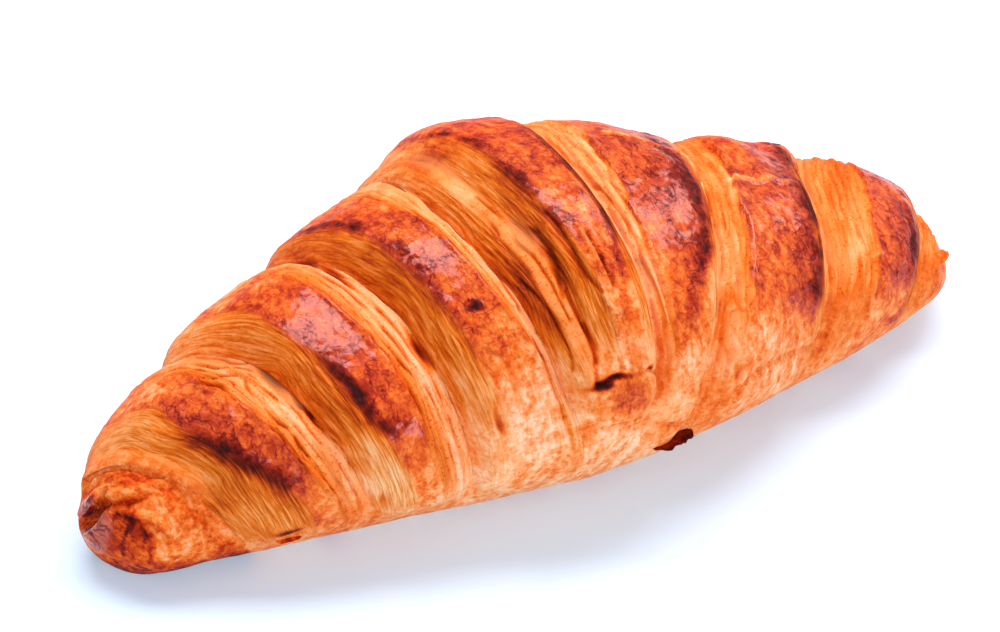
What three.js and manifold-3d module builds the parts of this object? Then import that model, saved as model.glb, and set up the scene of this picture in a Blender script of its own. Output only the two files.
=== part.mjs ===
// A baked croissant: a triangle of laminated dough rolled up from its wide end,
// so that each turn's cut edges lie as steps across the crust, half-way round
// ahead of the turn beneath, and the point of the triangle ends low on the front.
//
// Millimetres, +Z up. X runs along the roll, the near curled end at -X, the front
// at -Y. The crust is a height over two coordinates: the place along the roll and
// the section angle, which is 0 at the front, 90 on top and 180 at the back.

import * as THREE from "three";
import Module from "manifold-3d";

// Driving dimensions, mm unless named otherwise.
const LENGTH = 180;
const HALF = LENGTH / 2;
// Half-width of the roll over its crests, station by station along its length.
const STATIONS = [-90, -84, -68, -48, -26, -6, 18, 42, 68, 82, 90];
const HALF_WIDTHS = [8.7, 13.9, 21.3, 27.9, 34.1, 40.4, 37.8, 29.2, 22.3, 15.6, 8.7];
const HEIGHT_TO_WIDTH = 0.748;
const NEAR_LIFT = 3; // the underside's rise at each end
const FAR_LIFT = 3.6;
const NEAR_NOSE_RISE = 2.1; // the curled end's middle, above the taper's own line
const FAR_NOSE_DROP = 1.1;
const SINK = 3.3; // how deep the round section is pressed flat by its own weight
const FLAT_BLEND = 0.8; // rounding between the flat base and the sides
const NEAR_END_ROUND = 9; // length over which each end closes
const FAR_END_ROUND = 12;
// How the body departs from a plain oval section, at these stations: extra depth of
// the underside, how far the back quarter lies inside the oval, and the roll's swerve
// towards the back.
const BODY_STATIONS = [-90, -60, -20, 20, 50, 75, 90];
const UNDER_DEPTHS = [3.8, 2.4, 2.8, 3.4, 3.2, 3.6, 2];
const BACK_DROPS = [0.6, -0.8, -1.5, 1.4, -2.1, 1.1, 4.3];
const BENDS = [-0.3, 0.5, 0.3, -0.2, -0.8, 0.6, -0.1];
const BACK_FADE = 0.52; // how much lower the steps are at the back

// Feet of the cut edges, as distances from the middle of the roll, outermost wrap
// first, at each of these section angles. The last angle meets the next edge's first.
const EDGE_ANGLES = [-90, 0, 45, 90, 140, 270];
const NEAR_EDGES = [
  [4, 13, 16.2, 18.5, 19.8, 23],
  [23, 30, 32, 35, 41.3, 38],
  [38, 48.5, 52.9, 56.8, 65.3, 58],
  [58, 71, 75.6, 82.6, 86.3, 85],
];
const FAR_EDGES = [
  [-2, 1.5, 4.3, 5.2, 8, 3.5],
  [3.5, 12, 23.4, 32, 36, 31],
  [31, 43.5, 50, 57.5, 66.5, 60],
  [60, 70, 78.6, 83, 84, 85],
];
const NEAR_STEPS = [4.9, 5, 4.6, 3.6]; // height of each cut face
const FAR_STEPS = [4.5, 4.5, 4, 3];
const NEAR_LEANS = [3, 3.5, 4, 6.5]; // how far each cut face leans along the roll
const FAR_LEANS = [3, 3, 3, 3];
const TOP_FALL = 2; // power of the fall from a crest to the next groove
const LEDGES = [0.66, 0.82]; // thin layers' edges on each wrap, as shares of its width
const LEDGE_HEIGHT = 0.6;
const SMOOTH_DROP = 1.8; // level of the plain skirt and underside below the crests

// The middle wrap's near edge: a low cut face, a shelf, and a second, longer face up
// to the crest, as distances from its foot and a share of the height.
const SHELF_FROM = 2.2;
const SHELF_TO = 6;
const SHELF_CREST = 12;
const SHELF_SHARE = 0.45;
const SHELF_PLACES = [0, 1.1, 2.2, 4.4, 6, 7.6, 9.6];

// The point of the triangle: its middle, half-width and the angle where it ends.
const POINT_X = -5.5;
const POINT_HALF = 8;
const POINT_ANGLE = -14;
const POINT_ROUND = 12; // degrees by which the point's sides stop sooner
const POINT_SLOPE = 14; // degrees over which it thins out

// The curl in the near end: a slit between two rolled lips.
const CURL = { y: -2.1, z: 11.4, length: 9, width: 1.5, depth: 3.5, lean: 117 };
const CURL_LIP = 0.6;

// Swelling of the crust between the knots of the roll.
const SWELL = 0.5;
// Humps on the far wraps' tops: place along the roll, half-length and height.
const HUMPS = [
  [20, 4, 0.9],
  [46, 5, 2.7],
  [75, 5, 0.8],
];
const HUMP_ANGLE = 112;
const HUMP_HALF_ANGLE = 30;

// Loose flakes that stand out of the outline: their middles, sizes and turns in radians.
const FLAKES = [
  { at: [80, -13.6, 15], size: [2.6, 5, 1], turn: [-0.65, 0, 1.25] },
  { at: [8.1, -32.7, 12.9], size: [9, 6, 1.4], turn: [0.5, 0, 0.1] },
  { at: [-60.4, -18.8, 8.5], size: [5, 4, 1], turn: [0.55, 0, -0.1] },
];

// Mesh: rows round the section, and columns in each face, top and end.
const ROWS = 60;
const FACE_COLUMNS = 3;
const TOP_COLUMNS = 8;
const MIDDLE_COLUMNS = 4;
const END_COLUMNS = 7;
const HIDDEN_FROM = -60; // rows between these angles lie on the floor side
const HIDDEN_TO = 220;

const radians = (degrees) => (degrees * Math.PI) / 180;
const clamp = (t) => Math.min(Math.max(t, 0), 1);
const ease = (t) => clamp(t) ** 2 * (3 - 2 * clamp(t));
const bump = (t) => Math.exp(-t * t); // a soft hill, 1 at t = 0

// A smooth curve through named values, with slopes from the neighbours.
function curve(places, values, at) {
  const slope = (i) => {
    const a = Math.max(i - 1, 0);
    const b = Math.min(i + 1, places.length - 1);
    return (values[b] - values[a]) / (places[b] - places[a]);
  };
  let i = 0;
  while (i < places.length - 2 && at > places[i + 1]) {
    i += 1;
  }
  const run = places[i + 1] - places[i];
  const t = clamp((at - places[i]) / run);
  const rise = values[i + 1] - values[i];
  const a = slope(i) * run;
  const b = slope(i + 1) * run;
  return values[i] + t * (a + t * (3 * rise - 2 * a - b + t * (a + b - 2 * rise)));
}

// The roll's two halves, each with its own cut edges.
const NEAR = { sign: -1, edges: NEAR_EDGES, steps: NEAR_STEPS, leans: NEAR_LEANS };
const FAR = { sign: 1, edges: FAR_EDGES, steps: FAR_STEPS, leans: FAR_LEANS };

const edgeFoot = (edge, angle) => curve(EDGE_ANGLES, edge, angle);

// How much of the steps shows: all of it from the skirt over the top to the back.
function stepShare(angle) {
  const back = 1 - BACK_FADE * ease((angle - 85) / 45);
  return ease((angle + 40) / 36) * ease((250 - angle) / 45) * back;
}

// The same for the outermost wrap, which ends at the rounded point of the triangle.
function pointShare(x, angle) {
  const end = POINT_ANGLE + POINT_ROUND * ((x - POINT_X) / POINT_HALF) ** 2;
  return stepShare(angle) * ease((angle - Math.min(end, 20)) / POINT_SLOPE);
}

// The steep face of a cut edge, 0 at its foot and 1 at its crest.
const faceRise = (run, lean) => Math.sin((clamp(run / lean) * Math.PI) / 2) ** 0.9;

// The same for the middle wrap's near edge, whose shelf runs out above the skirt.
function shelvedRise(run, angle) {
  const share = ease((angle - 8) / 28);
  const low = faceRise(run, SHELF_FROM);
  const high = Math.sin((clamp((run - SHELF_TO) / (SHELF_CREST - SHELF_TO)) * Math.PI) / 2);
  const stepped = SHELF_SHARE * low + (1 - SHELF_SHARE) * high ** 1.2;
  return share * stepped + (1 - share) * faceRise(run, NEAR_LEANS[0]);
}

const mixed = (fall, share) => share * fall + (1 - share) * SMOOTH_DROP;

// Drop of the outermost wrap below its crests, from a cut face on either hand.
function outerDrop(x, angle) {
  const nearRise = shelvedRise(edgeFoot(NEAR_EDGES[0], angle) + x, angle);
  const farRise = faceRise(edgeFoot(FAR_EDGES[0], angle) - x, FAR_LEANS[0]);
  const fall = NEAR_STEPS[0] * (1 - nearRise) + FAR_STEPS[0] * (1 - farRise);
  return mixed(fall, pointShare(x, angle));
}

// Drop of a wrap further in: the cut face at its foot, then the fall from its
// crest to the groove in front of the next wrap, with the edges of thin layers.
function innerDrop({ sign, edges, steps, leans }, k, x, angle) {
  const foot = k < edges.length ? edgeFoot(edges[k], angle) : HALF + 6;
  const inner = edgeFoot(edges[k - 1], angle);
  const run = foot - sign * x;
  const lean = leans[Math.min(k, leans.length - 1)];
  const face = k < edges.length ? steps[k] * (1 - faceRise(run, lean)) : 0;
  const share = clamp((run - lean) / Math.max(foot - inner - lean, 1));
  let top = steps[k - 1] * share ** TOP_FALL;
  for (const ledge of LEDGES) {
    top += LEDGE_HEIGHT * (ease((share - ledge) / 0.05) - share);
  }
  const shown = k === 1 ? pointShare(sign * inner, angle) : 1;
  return mixed(face + top * shown + SMOOTH_DROP * (1 - shown) * share ** TOP_FALL, stepShare(angle));
}

// Drop of the crust below the line of the crests.
function drop(x, angle) {
  const half = x < POINT_X ? NEAR : FAR;
  const reach = half.sign * x;
  const feet = half.edges.map((edge) => edgeFoot(edge, angle));
  const wrap = feet.filter((foot) => reach > foot).length;
  return wrap === 0 ? outerDrop(x, angle) : innerDrop(half, wrap, x, angle);
}

// Soft unevenness of the baked dough, and the humps on its top.
function swell(x, angle) {
  const turn = radians(angle);
  const top = bump((angle - HUMP_ANGLE) / HUMP_HALF_ANGLE);
  const humps = HUMPS.map(([at, half, height]) => height * bump((x - at) / half));
  const slow = SWELL * (Math.sin(3 * turn + x * 0.11) + Math.sin(5 * turn - x * 0.23 + 1) * 0.6);
  return slow + top * humps.reduce((sum, hump) => sum + hump, 0);
}

// How far each end has closed, 1 along the roll and 0 at its tips.
function closing(x) {
  const round = x < 0 ? NEAR_END_ROUND : FAR_END_ROUND;
  const t = clamp((Math.abs(x) - (HALF - round)) / round);
  return Math.sqrt(Math.max(1 - t * t, 0));
}

// The slit of the curl pushes the end inwards between its lips.
function curlPush(y, z) {
  const lean = radians(CURL.lean);
  const along = (y - CURL.y) * Math.cos(lean) + (z - CURL.z) * Math.sin(lean);
  const across = -(y - CURL.y) * Math.sin(lean) + (z - CURL.z) * Math.cos(lean);
  const bow = across + 0.06 * along * along;
  const ends = 1 - ease((Math.abs(along) - CURL.length * 0.3) / (CURL.length * 0.35));
  const slit = bump(bow / CURL.width);
  const lips = bump((Math.abs(bow) - 2.2 * CURL.width) / CURL.width);
  return ends * (CURL.depth * slit - CURL_LIP * lips);
}

// Presses what would lie below the floor flat.
function pressed(z) {
  if (z > FLAT_BLEND) {
    return z;
  }
  return z < -FLAT_BLEND ? 0 : (z + FLAT_BLEND) ** 2 / (4 * FLAT_BLEND);
}

function crustPoint(x, angle) {
  const open = closing(x);
  const wide = curve(STATIONS, HALF_WIDTHS, x);
  const behind = ease((angle - 75) / 45) * ease((270 - angle) / 90);
  const back = curve(BODY_STATIONS, BACK_DROPS, x) * behind;
  const fall = drop(x, angle) - swell(x, angle) * stepShare(angle) + back;
  const turn = radians(angle);
  const nose = x < 0 ? NEAR_NOSE_RISE : -FAR_NOSE_DROP;
  const lift = (x < 0 ? NEAR_LIFT : FAR_LIFT) * (x / HALF) ** 2;
  const centre = wide * HEIGHT_TO_WIDTH + lift + nose * (1 - open) - SINK;
  const under = angle < 0 || angle > 180 ? curve(BODY_STATIONS, UNDER_DEPTHS, x) : 0;
  const tall = wide * HEIGHT_TO_WIDTH + under;
  const y = curve(BODY_STATIONS, BENDS, x) - (wide - fall) * open * Math.cos(turn);
  const z = pressed(centre + (tall - fall) * open * Math.sin(turn));
  const push = x < -HALF + 14 ? curlPush(y, z) * ease((-x - 82) / 4) : 0;
  return [x + push, y, z];
}

// Along-the-roll places of the columns at one angle: they keep to the cut edges
// where these show and close up underneath.
function columns(angle) {
  const foot = (edges, k) => {
    if (angle <= HIDDEN_TO && angle >= HIDDEN_FROM) {
      return edgeFoot(edges[k], angle);
    }
    const turned = angle > HIDDEN_TO ? angle : angle + 360;
    const share = ease((turned - HIDDEN_TO) / (HIDDEN_FROM + 360 - HIDDEN_TO));
    return edgeFoot(edges[k], HIDDEN_TO) * (1 - share) + edgeFoot(edges[k], HIDDEN_FROM) * share;
  };
  const side = (edges, leans) => {
    const feet = edges.map((_, k) => foot(edges, k)).reverse();
    const places = [];
    for (let i = END_COLUMNS; i > 0; i -= 1) {
      places.push(feet[0] + (HALF - feet[0]) * Math.sin((i / END_COLUMNS) * Math.PI * 0.5));
    }
    feet.forEach((place, k) => {
      if (k === feet.length - 1) {
        return;
      }
      const lean = leans[feet.length - 1 - k];
      for (let i = 0; i < FACE_COLUMNS; i += 1) {
        places.push(place - (lean * i) / FACE_COLUMNS);
      }
      for (let i = 0; i < TOP_COLUMNS; i += 1) {
        places.push(place - lean + (feet[k + 1] - place + lean) * (i / TOP_COLUMNS));
      }
    });
    return places;
  };
  const near = side(NEAR_EDGES, NEAR_LEANS).map((x) => -x);
  const far = side(FAR_EDGES, FAR_LEANS).reverse();
  const shelf = SHELF_PLACES.map((run) => run - foot(NEAR_EDGES, 0));
  const face = [];
  for (let i = FACE_COLUMNS; i >= 0; i -= 1) {
    face.push(foot(FAR_EDGES, 0) - (FAR_LEANS[0] * i) / FACE_COLUMNS);
  }
  const from = SHELF_CREST - foot(NEAR_EDGES, 0);
  const middle = [];
  for (let i = 0; i < MIDDLE_COLUMNS; i += 1) {
    middle.push(from + ((face[0] - from) * i) / MIDDLE_COLUMNS);
  }
  return [...near, ...shelf, ...middle, ...face, ...far];
}

// The closed crust as an indexed mesh: a ring of points per column, a point per tip.
function crustMesh() {
  const places = [];
  for (let j = 0; j < ROWS; j += 1) {
    places.push(columns(-90 + (360 * j) / ROWS));
  }
  const last = places[0].length - 1;
  const points = [...crustPoint(-HALF, 0)];
  for (let i = 1; i < last; i += 1) {
    for (let j = 0; j < ROWS; j += 1) {
      points.push(...crustPoint(places[j][i], -90 + (360 * j) / ROWS));
    }
  }
  points.push(...crustPoint(HALF, 0));
  const end = points.length / 3 - 1;
  const index = (i, j) => 1 + (i - 1) * ROWS + (j % ROWS);
  const triangles = [];
  for (let j = 0; j < ROWS; j += 1) {
    triangles.push(0, index(1, j), index(1, j + 1));
    triangles.push(end, index(last - 1, j + 1), index(last - 1, j));
    for (let i = 1; i < last - 1; i += 1) {
      const a = index(i, j);
      const b = index(i + 1, j);
      const c = index(i + 1, j + 1);
      const d = index(i, j + 1);
      triangles.push(...((i + j) % 2 ? [a, b, c, a, c, d] : [a, b, d, b, c, d]));
    }
  }
  return { points, triangles };
}

// A flake: a thin wedge with a ragged outer edge, its root inside the crust.
function flakeGeometry({ at, size, turn }) {
  const [long, deep, thick] = size;
  const outline = new THREE.Shape();
  outline.moveTo(-long / 2, -deep / 2);
  outline.lineTo(-long / 2.6, -deep / 1.7);
  outline.lineTo(0, -deep / 1.9);
  outline.lineTo(long / 3, -deep / 1.5);
  outline.lineTo(long / 2, -deep / 2.4);
  outline.lineTo(long / 2, deep / 2);
  outline.lineTo(-long / 2, deep / 2);
  const geometry = new THREE.ExtrudeGeometry(outline, { depth: thick, bevelEnabled: false });
  geometry.translate(0, 0, -thick / 2);
  geometry.rotateX(turn[0]).rotateY(turn[1]).rotateZ(turn[2]);
  geometry.translate(...at);
  return geometry;
}

// Joins equal points, so that an extruded shape is closed.
function welded(geometry) {
  const position = geometry.getAttribute("position");
  const order = geometry.index;
  const seen = new Map();
  const points = [];
  const triangles = [];
  const count = order ? order.count : position.count;
  for (let n = 0; n < count; n += 1) {
    const i = order ? order.getX(n) : n;
    const place = [position.getX(i), position.getY(i), position.getZ(i)];
    const key = place.map((v) => v.toFixed(4)).join();
    if (!seen.has(key)) {
      seen.set(key, points.length / 3);
      points.push(...place);
    }
    triangles.push(seen.get(key));
  }
  return { points, triangles };
}

function croissantGeometry(manifold) {
  const solid = ({ points, triangles }) =>
    new manifold.Manifold(
      new manifold.Mesh({
        numProp: 3,
        vertProperties: Float32Array.from(points),
        triVerts: Uint32Array.from(triangles),
      }),
    );
  let whole = solid(crustMesh());
  for (const flake of FLAKES) {
    whole = whole.add(solid(welded(flakeGeometry(flake))));
  }
  const mesh = whole.getMesh();
  const geometry = new THREE.BufferGeometry();
  geometry.setAttribute("position", new THREE.BufferAttribute(Float32Array.from(mesh.vertProperties), 3));
  geometry.setIndex(Array.from(mesh.triVerts));
  geometry.computeVertexNormals();
  return geometry;
}

const crustMaterial = () =>
  new THREE.MeshStandardMaterial({ color: 0xd07a2e, roughness: 0.45, metalness: 0 });

const manifold = await Module();
manifold.setup();

const croissant = new THREE.Mesh(croissantGeometry(manifold), crustMaterial());
croissant.name = "croissant";

const part = new THREE.Group();
part.name = "butter_croissant";
part.add(croissant);

export default part;
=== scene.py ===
"""A baked croissant on a plain pale floor, in metres, +Z up.

The crust is a height over two coordinates, worked out in millimetres and then fitted to
the frame's box: the place along the roll, and the section angle, which is 0 at the
front, 90 on top and 180 at the back.
"""

import functools
import itertools
import math
from types import SimpleNamespace

import bpy
import numpy as np
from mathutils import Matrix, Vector


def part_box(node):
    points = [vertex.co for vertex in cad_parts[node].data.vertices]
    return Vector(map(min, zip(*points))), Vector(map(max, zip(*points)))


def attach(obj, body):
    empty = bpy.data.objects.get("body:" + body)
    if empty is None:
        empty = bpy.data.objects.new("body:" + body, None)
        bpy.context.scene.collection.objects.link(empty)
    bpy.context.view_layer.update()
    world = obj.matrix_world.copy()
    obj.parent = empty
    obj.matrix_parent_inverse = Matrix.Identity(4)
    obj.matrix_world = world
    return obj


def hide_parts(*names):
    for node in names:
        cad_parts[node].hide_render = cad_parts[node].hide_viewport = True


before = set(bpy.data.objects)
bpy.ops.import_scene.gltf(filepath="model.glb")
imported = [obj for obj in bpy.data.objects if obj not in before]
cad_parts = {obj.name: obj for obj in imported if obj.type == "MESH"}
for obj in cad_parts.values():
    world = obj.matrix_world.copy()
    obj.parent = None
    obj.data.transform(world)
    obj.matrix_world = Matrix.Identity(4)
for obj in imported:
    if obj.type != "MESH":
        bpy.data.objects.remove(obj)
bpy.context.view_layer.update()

# Driving dimensions of the roll, millimetres and degrees.
LENGTH = 180.0
HALF = LENGTH / 2
STATIONS = [-90, -84, -68, -48, -26, -6, 18, 42, 68, 82, 90]
HALF_WIDTHS = [8.7, 13.9, 21.3, 27.9, 34.1, 40.4, 37.8, 29.2, 22.3, 15.6, 8.7]
HEIGHT_TO_WIDTH = 0.748
NEAR_LIFT = 3.0
FAR_LIFT = 3.6
# Extra depth of the underside below the middle of the section, by station.
BODY_STATIONS = [-90, -60, -20, 20, 50, 75, 90]
UNDER_DEPTHS = [3.8, 2.4, 2.8, 3.4, 3.2, 3.6, 2.0]
BACK_FADE = 0.52
# How far the back quarter lies inside the section's oval, by the same stations.
BACK_DROPS = [0.6, -0.8, -1.5, 1.4, -2.1, 1.1, 4.3]
# How far the roll swerves towards the back.
BENDS = [-0.3, 0.5, 0.3, -0.2, -0.8, 0.6, -0.1]
NEAR_NOSE_RISE = 2.1
FAR_NOSE_DROP = 1.1
SINK = 3.3
FLAT_BLEND = 0.8
NEAR_END_ROUND = 9.0
FAR_END_ROUND = 12.0

# Feet of the cut edges from the middle of the roll, outermost wrap first.
EDGE_ANGLES = [-90, 0, 45, 90, 140, 270]
NEAR_EDGES = [
    [4, 13, 16.2, 18.5, 19.8, 23],
    [23, 30, 32, 35, 41.3, 38],
    [38, 48.5, 52.9, 56.8, 65.3, 58],
    [58, 71, 75.6, 82.6, 86.3, 85],
]
FAR_EDGES = [
    [-2, 1.5, 4.3, 5.2, 8, 3.5],
    [3.5, 12, 23.4, 32, 36, 31],
    [31, 43.5, 50, 57.5, 66.5, 60],
    [60, 70, 78.6, 83, 84, 85],
]
NEAR_STEPS = [4.9, 5.0, 4.6, 3.6]
FAR_STEPS = [4.5, 4.5, 4.0, 3.0]
# How far each cut face leans along the roll.
NEAR_RUNS = [3.0, 3.5, 4.0, 6.5]
FAR_RUNS = [3.0, 3.0, 3.0, 3.0]
FACE_ROUND = 0.9
TOP_FALL = 2.0
SMOOTH_DROP = 1.8
SWELL = 0.5
# Humps on the far wraps: place along the roll, half-length and height, and where round it.
HUMPS = [(46, 5, 2.7), (20, 4, 0.9), (75, 5, 0.8)]
HUMP_ANGLE = 112
HUMP_HALF_ANGLE = 30

# The point of the dough's triangle, low on the front.
POINT_X = -5.5
POINT_HALF = 8.0
POINT_ANGLE = -14.0
POINT_ROUND = 12.0
POINT_SLOPE = 14.0

# Where the egg-washed skin of each wrap begins, past the pale layers stretched bare in
# front of the wrap before it, at the same angles.
NEAR_SKINS = [
    [6, 15, 19, 23, 26, 26],
    [28, 36.5, 39, 43, 47, 43],
    [43, 54.5, 61, 66, 71, 64],
    [62, 74, 81, 87, 89, 89],
]
FAR_SKINS = [
    [2, 4.5, 7.2, 12, 15, 10],
    [12, 21, 30.5, 39.5, 44, 41],
    [42, 54, 63, 71, 76, 72],
    [66, 77, 85, 89, 89, 89],
]
# Edges of thin layers in the pale, as shares of its width, and their heights by wrap.
LEDGES = [1.0, 0.68, 0.38]
NEAR_LEDGES = [0.5, 0.7, 0.8, 0.4]
FAR_LEDGES = [0.7, 0.7, 0.45, 0.3]

# The middle wrap's near edge has two cut faces with a bare shelf between them.
SHELF_FROM = 2.2
SHELF_TO = 6.0
SHELF_CREST = 12.0
SHELF_SHARE = 0.45

# The curl in the near end.
CURL_Y = -2.1
CURL_Z = 11.4
CURL_LENGTH = 9.0
CURL_WIDTH = 1.0
CURL_DEPTH = 3.5
CURL_LIP = 0.6
CURL_LEAN = 117.0
CURL_BOW = 0.06
CURL_REACH = 14.0

# Mesh density.
FINE = 1.0
FRONT_ROWS = int(310 * FINE)
BACK_ROWS = int(90 * FINE)
NEAR_FACE_COLUMNS = int(26 * FINE)
FAR_FACE_COLUMNS = int(10 * FINE)
TOP_COLUMNS = int(72 * FINE)
END_COLUMNS = int(56 * FINE)
FRONT_FROM = -62
FRONT_TO = 155
HIDDEN_FROM = -60.0
HIDDEN_TO = 220.0


def ease(t):
    """A soft step from 0 to 1."""
    t = np.clip(t, 0.0, 1.0)
    return t * t * (3.0 - 2.0 * t)


def bump(t):
    """A soft hill, 1 at t = 0."""
    return np.exp(-(t * t))


def blend(a, b, share):
    """From a to b as the share goes from 0 to 1."""
    return a * (1 - share) + b * share


def curve(places, values, at):
    """A smooth curve through named values, with slopes from the neighbours."""
    places = np.asarray(places, float)
    values = np.asarray(values, float)
    slopes = np.empty_like(values)
    slopes[1:-1] = (values[2:] - values[:-2]) / (places[2:] - places[:-2])
    slopes[0] = (values[1] - values[0]) / (places[1] - places[0])
    slopes[-1] = (values[-1] - values[-2]) / (places[-1] - places[-2])
    i = np.clip(np.searchsorted(places, at) - 1, 0, len(places) - 2)
    run = places[i + 1] - places[i]
    t = np.clip((at - places[i]) / run, 0.0, 1.0)
    rise = values[i + 1] - values[i]
    a = slopes[i] * run
    b = slopes[i + 1] * run
    return values[i] + t * (a + t * (3 * rise - 2 * a - b + t * (a + b - 2 * rise)))


def lattice(ix, iy, iz, seed):
    """A repeatable draw from 0 to 1 at each whole-number place."""
    h = ix.astype(np.uint32) * np.uint32(73856093)
    h ^= iy.astype(np.uint32) * np.uint32(19349663)
    h ^= iz.astype(np.uint32) * np.uint32(83492791)
    h ^= np.uint32((seed * 2654435761) & 0xFFFFFFFF)
    h = (h ^ (h >> np.uint32(13))) * np.uint32(1274126177)
    h ^= h >> np.uint32(16)
    return (h & np.uint32(0xFFFFFF)).astype(float) / 0xFFFFFF


def noise(x, y, z, seed):
    """Smooth noise from 0 to 1 with features about one unit across."""
    places = []
    shares = []
    for value in (x, y, z):
        whole = np.floor(value)
        places.append(whole.astype(np.int64))
        shares.append(ease(value - whole))
    total = np.zeros(np.broadcast(x, y, z).shape)
    for corner in range(8):
        weight = 1.0
        at = []
        for axis in range(3):
            step = (corner >> axis) & 1
            at.append(places[axis] + step)
            weight = weight * (shares[axis] if step else 1.0 - shares[axis])
        total = total + weight * lattice(*at, seed)
    return total


def rough_noise(x, y, z, seed, octaves=3):
    """Noise summed over finer and finer features, from -1 to 1."""
    total = 0.0
    size = 1.0
    for octave in range(octaves):
        total = total + (noise(x / size, y / size, z / size, seed + octave) - 0.5) * size
        size *= 0.5
    return total


def nearest_cell(x, y, z, seed):
    """Distance to the nearest of scattered points, one per unit cell."""
    whole = [np.floor(value).astype(np.int64) for value in (x, y, z)]
    near = np.full(x.shape, 9.0)
    for steps in itertools.product((-1, 0, 1), repeat=3):
        cell = [place + step for place, step in zip(whole, steps)]
        away = 0
        for axis, value in enumerate((x, y, z)):
            away = away + (cell[axis] + lattice(*cell, seed + axis) - value) ** 2
        near = np.minimum(near, np.sqrt(away))
    return near


def step_share(angle):
    """How fully the steps show: not under the roll, and less at the back."""
    back = 1 - BACK_FADE * ease((angle - 85) / 45)
    return ease((angle + 40) / 36) * ease((250 - angle) / 45) * back


def point_share(x, angle):
    """How fully the middle wrap shows: it ends in the point, low on the front."""
    end = POINT_ANGLE + POINT_ROUND * ((x - POINT_X) / POINT_HALF) ** 2
    return step_share(angle) * ease((angle - np.minimum(end, 20)) / POINT_SLOPE)


def face_rise(run, lean):
    """How far up a cut face is at each place, from its foot to its rounded crest."""
    return np.sin(np.clip(run / lean, 0, 1) * math.pi / 2) ** FACE_ROUND


def wrap_places(x, angle):
    """Which wrap each place is on, and how far it lies from that wrap's edges."""
    near = x < POINT_X

    def turned(rows):
        return [curve(EDGE_ANGLES, row, angle) for row in rows]

    def sided(near_values, far_values):
        return [np.where(near, a, b) for a, b in zip(near_values, far_values)]

    near_feet = turned(NEAR_EDGES)
    far_feet = turned(FAR_EDGES)
    feet = sided(near_feet, far_feet) + [np.full_like(x, HALF + 6)]
    reach = np.where(near, -x, x)
    wrap = np.zeros(x.shape, int)
    for foot in feet[:4]:
        wrap += reach > foot + 1e-9
    own = np.minimum(wrap, 3)
    inward = np.maximum(wrap - 1, 0)
    inner = np.choose(inward, feet)
    steps = sided(NEAR_STEPS, FAR_STEPS)
    w = SimpleNamespace(near=near, wrap=wrap, lane=wrap + np.where(near, 0.0, 9.0))
    w.run = np.choose(wrap, feet) - reach
    w.near_run = near_feet[0] + x
    w.far_run = far_feet[0] - x
    w.edge_run = np.where(wrap > 0, w.run, np.where(near, w.near_run, w.far_run))
    w.width = np.choose(wrap, feet) - inner
    w.past_inner = np.where(wrap > 0, reach - inner, 60.0)
    w.inner_x = np.where(near, -inner, inner)
    w.foot_step = np.choose(own, steps) * (wrap < 4)
    w.inner_step = np.choose(inward, steps)
    w.lean = np.choose(own, sided(NEAR_RUNS, FAR_RUNS))
    skins = sided(turned(NEAR_SKINS), turned(FAR_SKINS))
    w.pale = np.maximum(np.choose(inward, skins) - inner, 1.0)
    w.ledge = np.choose(inward, sided(NEAR_LEDGES, FAR_LEDGES))
    return w


def ledge_line(w, angle, number):
    """How far from the inner groove one thin layer's edge lies, and its height."""
    share = LEDGES[number]
    seed = 40 + number
    turn = angle / 14.0
    flat = np.zeros_like(angle)
    sway = noise(turn, w.lane * 7.3, flat, seed) - 0.5
    flutter = noise(turn * 3.1, w.lane * 5.7, flat, seed + 10) - 0.5
    at = w.pale * share + np.minimum(w.pale, 7.0) * (0.30 * sway * share + 0.07 * flutter)
    tall = noise(turn * 0.7, w.lane * 3.1, flat, seed + 20)
    return at, w.ledge * (0.35 + 1.3 * tall)


def shelf_share(angle):
    """How fully the shelf shows: it closes towards the skirt."""
    return ease((angle - 8) / 28)


def shelved_rise(run, angle):
    """The middle wrap's near edge: a cut face, a bare shelf and a second, longer face."""
    low = face_rise(run, SHELF_FROM)
    high = np.sin(np.clip((run - SHELF_TO) / (SHELF_CREST - SHELF_TO), 0, 1) * math.pi / 2)
    stepped = blend(high**1.2, low, SHELF_SHARE)
    return blend(face_rise(run, NEAR_RUNS[0]), stepped, shelf_share(angle))


def drop(w, x, angle):
    """How far the crust lies below the line of the crests, without its fine relief."""
    outer = NEAR_STEPS[0] * (1 - shelved_rise(w.near_run, angle))
    outer = outer + FAR_STEPS[0] * (1 - face_rise(w.far_run, FAR_RUNS[0]))
    outer = blend(SMOOTH_DROP, outer, point_share(x, angle))
    face = w.foot_step * (1 - face_rise(w.run, w.lean))
    across = np.clip((w.run - w.lean) / np.maximum(w.width - w.lean, 1), 0, 1)
    layers = np.zeros_like(x)
    total = np.zeros_like(x)
    for number in range(len(LEDGES)):
        at, height = ledge_line(w, angle, number)
        layers += height * (1 - ease((w.past_inner - at) / 0.45 + 0.5))
        layers -= 0.3 * height * bump((w.past_inner - at - 0.5) / 0.5)
        total += height
    top = (w.inner_step - total) * across**TOP_FALL + layers
    shown = np.where(w.wrap == 1, point_share(w.inner_x, angle), 1.0)
    inner = face + top * shown + SMOOTH_DROP * (1 - shown) * across**TOP_FALL
    return np.where(w.wrap == 0, outer, blend(SMOOTH_DROP, inner, step_share(angle)))


def swell(x, angle):
    """Slow bulges of the whole roll, and the humps of the far wraps' tops."""
    humps = sum(height * bump((x - at) / half) for at, half, height in HUMPS)
    turn = np.radians(angle)
    slow = np.sin(3 * turn + x * 0.11) + np.sin(5 * turn - x * 0.23 + 1) * 0.6
    return humps * bump((angle - HUMP_ANGLE) / HUMP_HALF_ANGLE) + SWELL * slow


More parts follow.
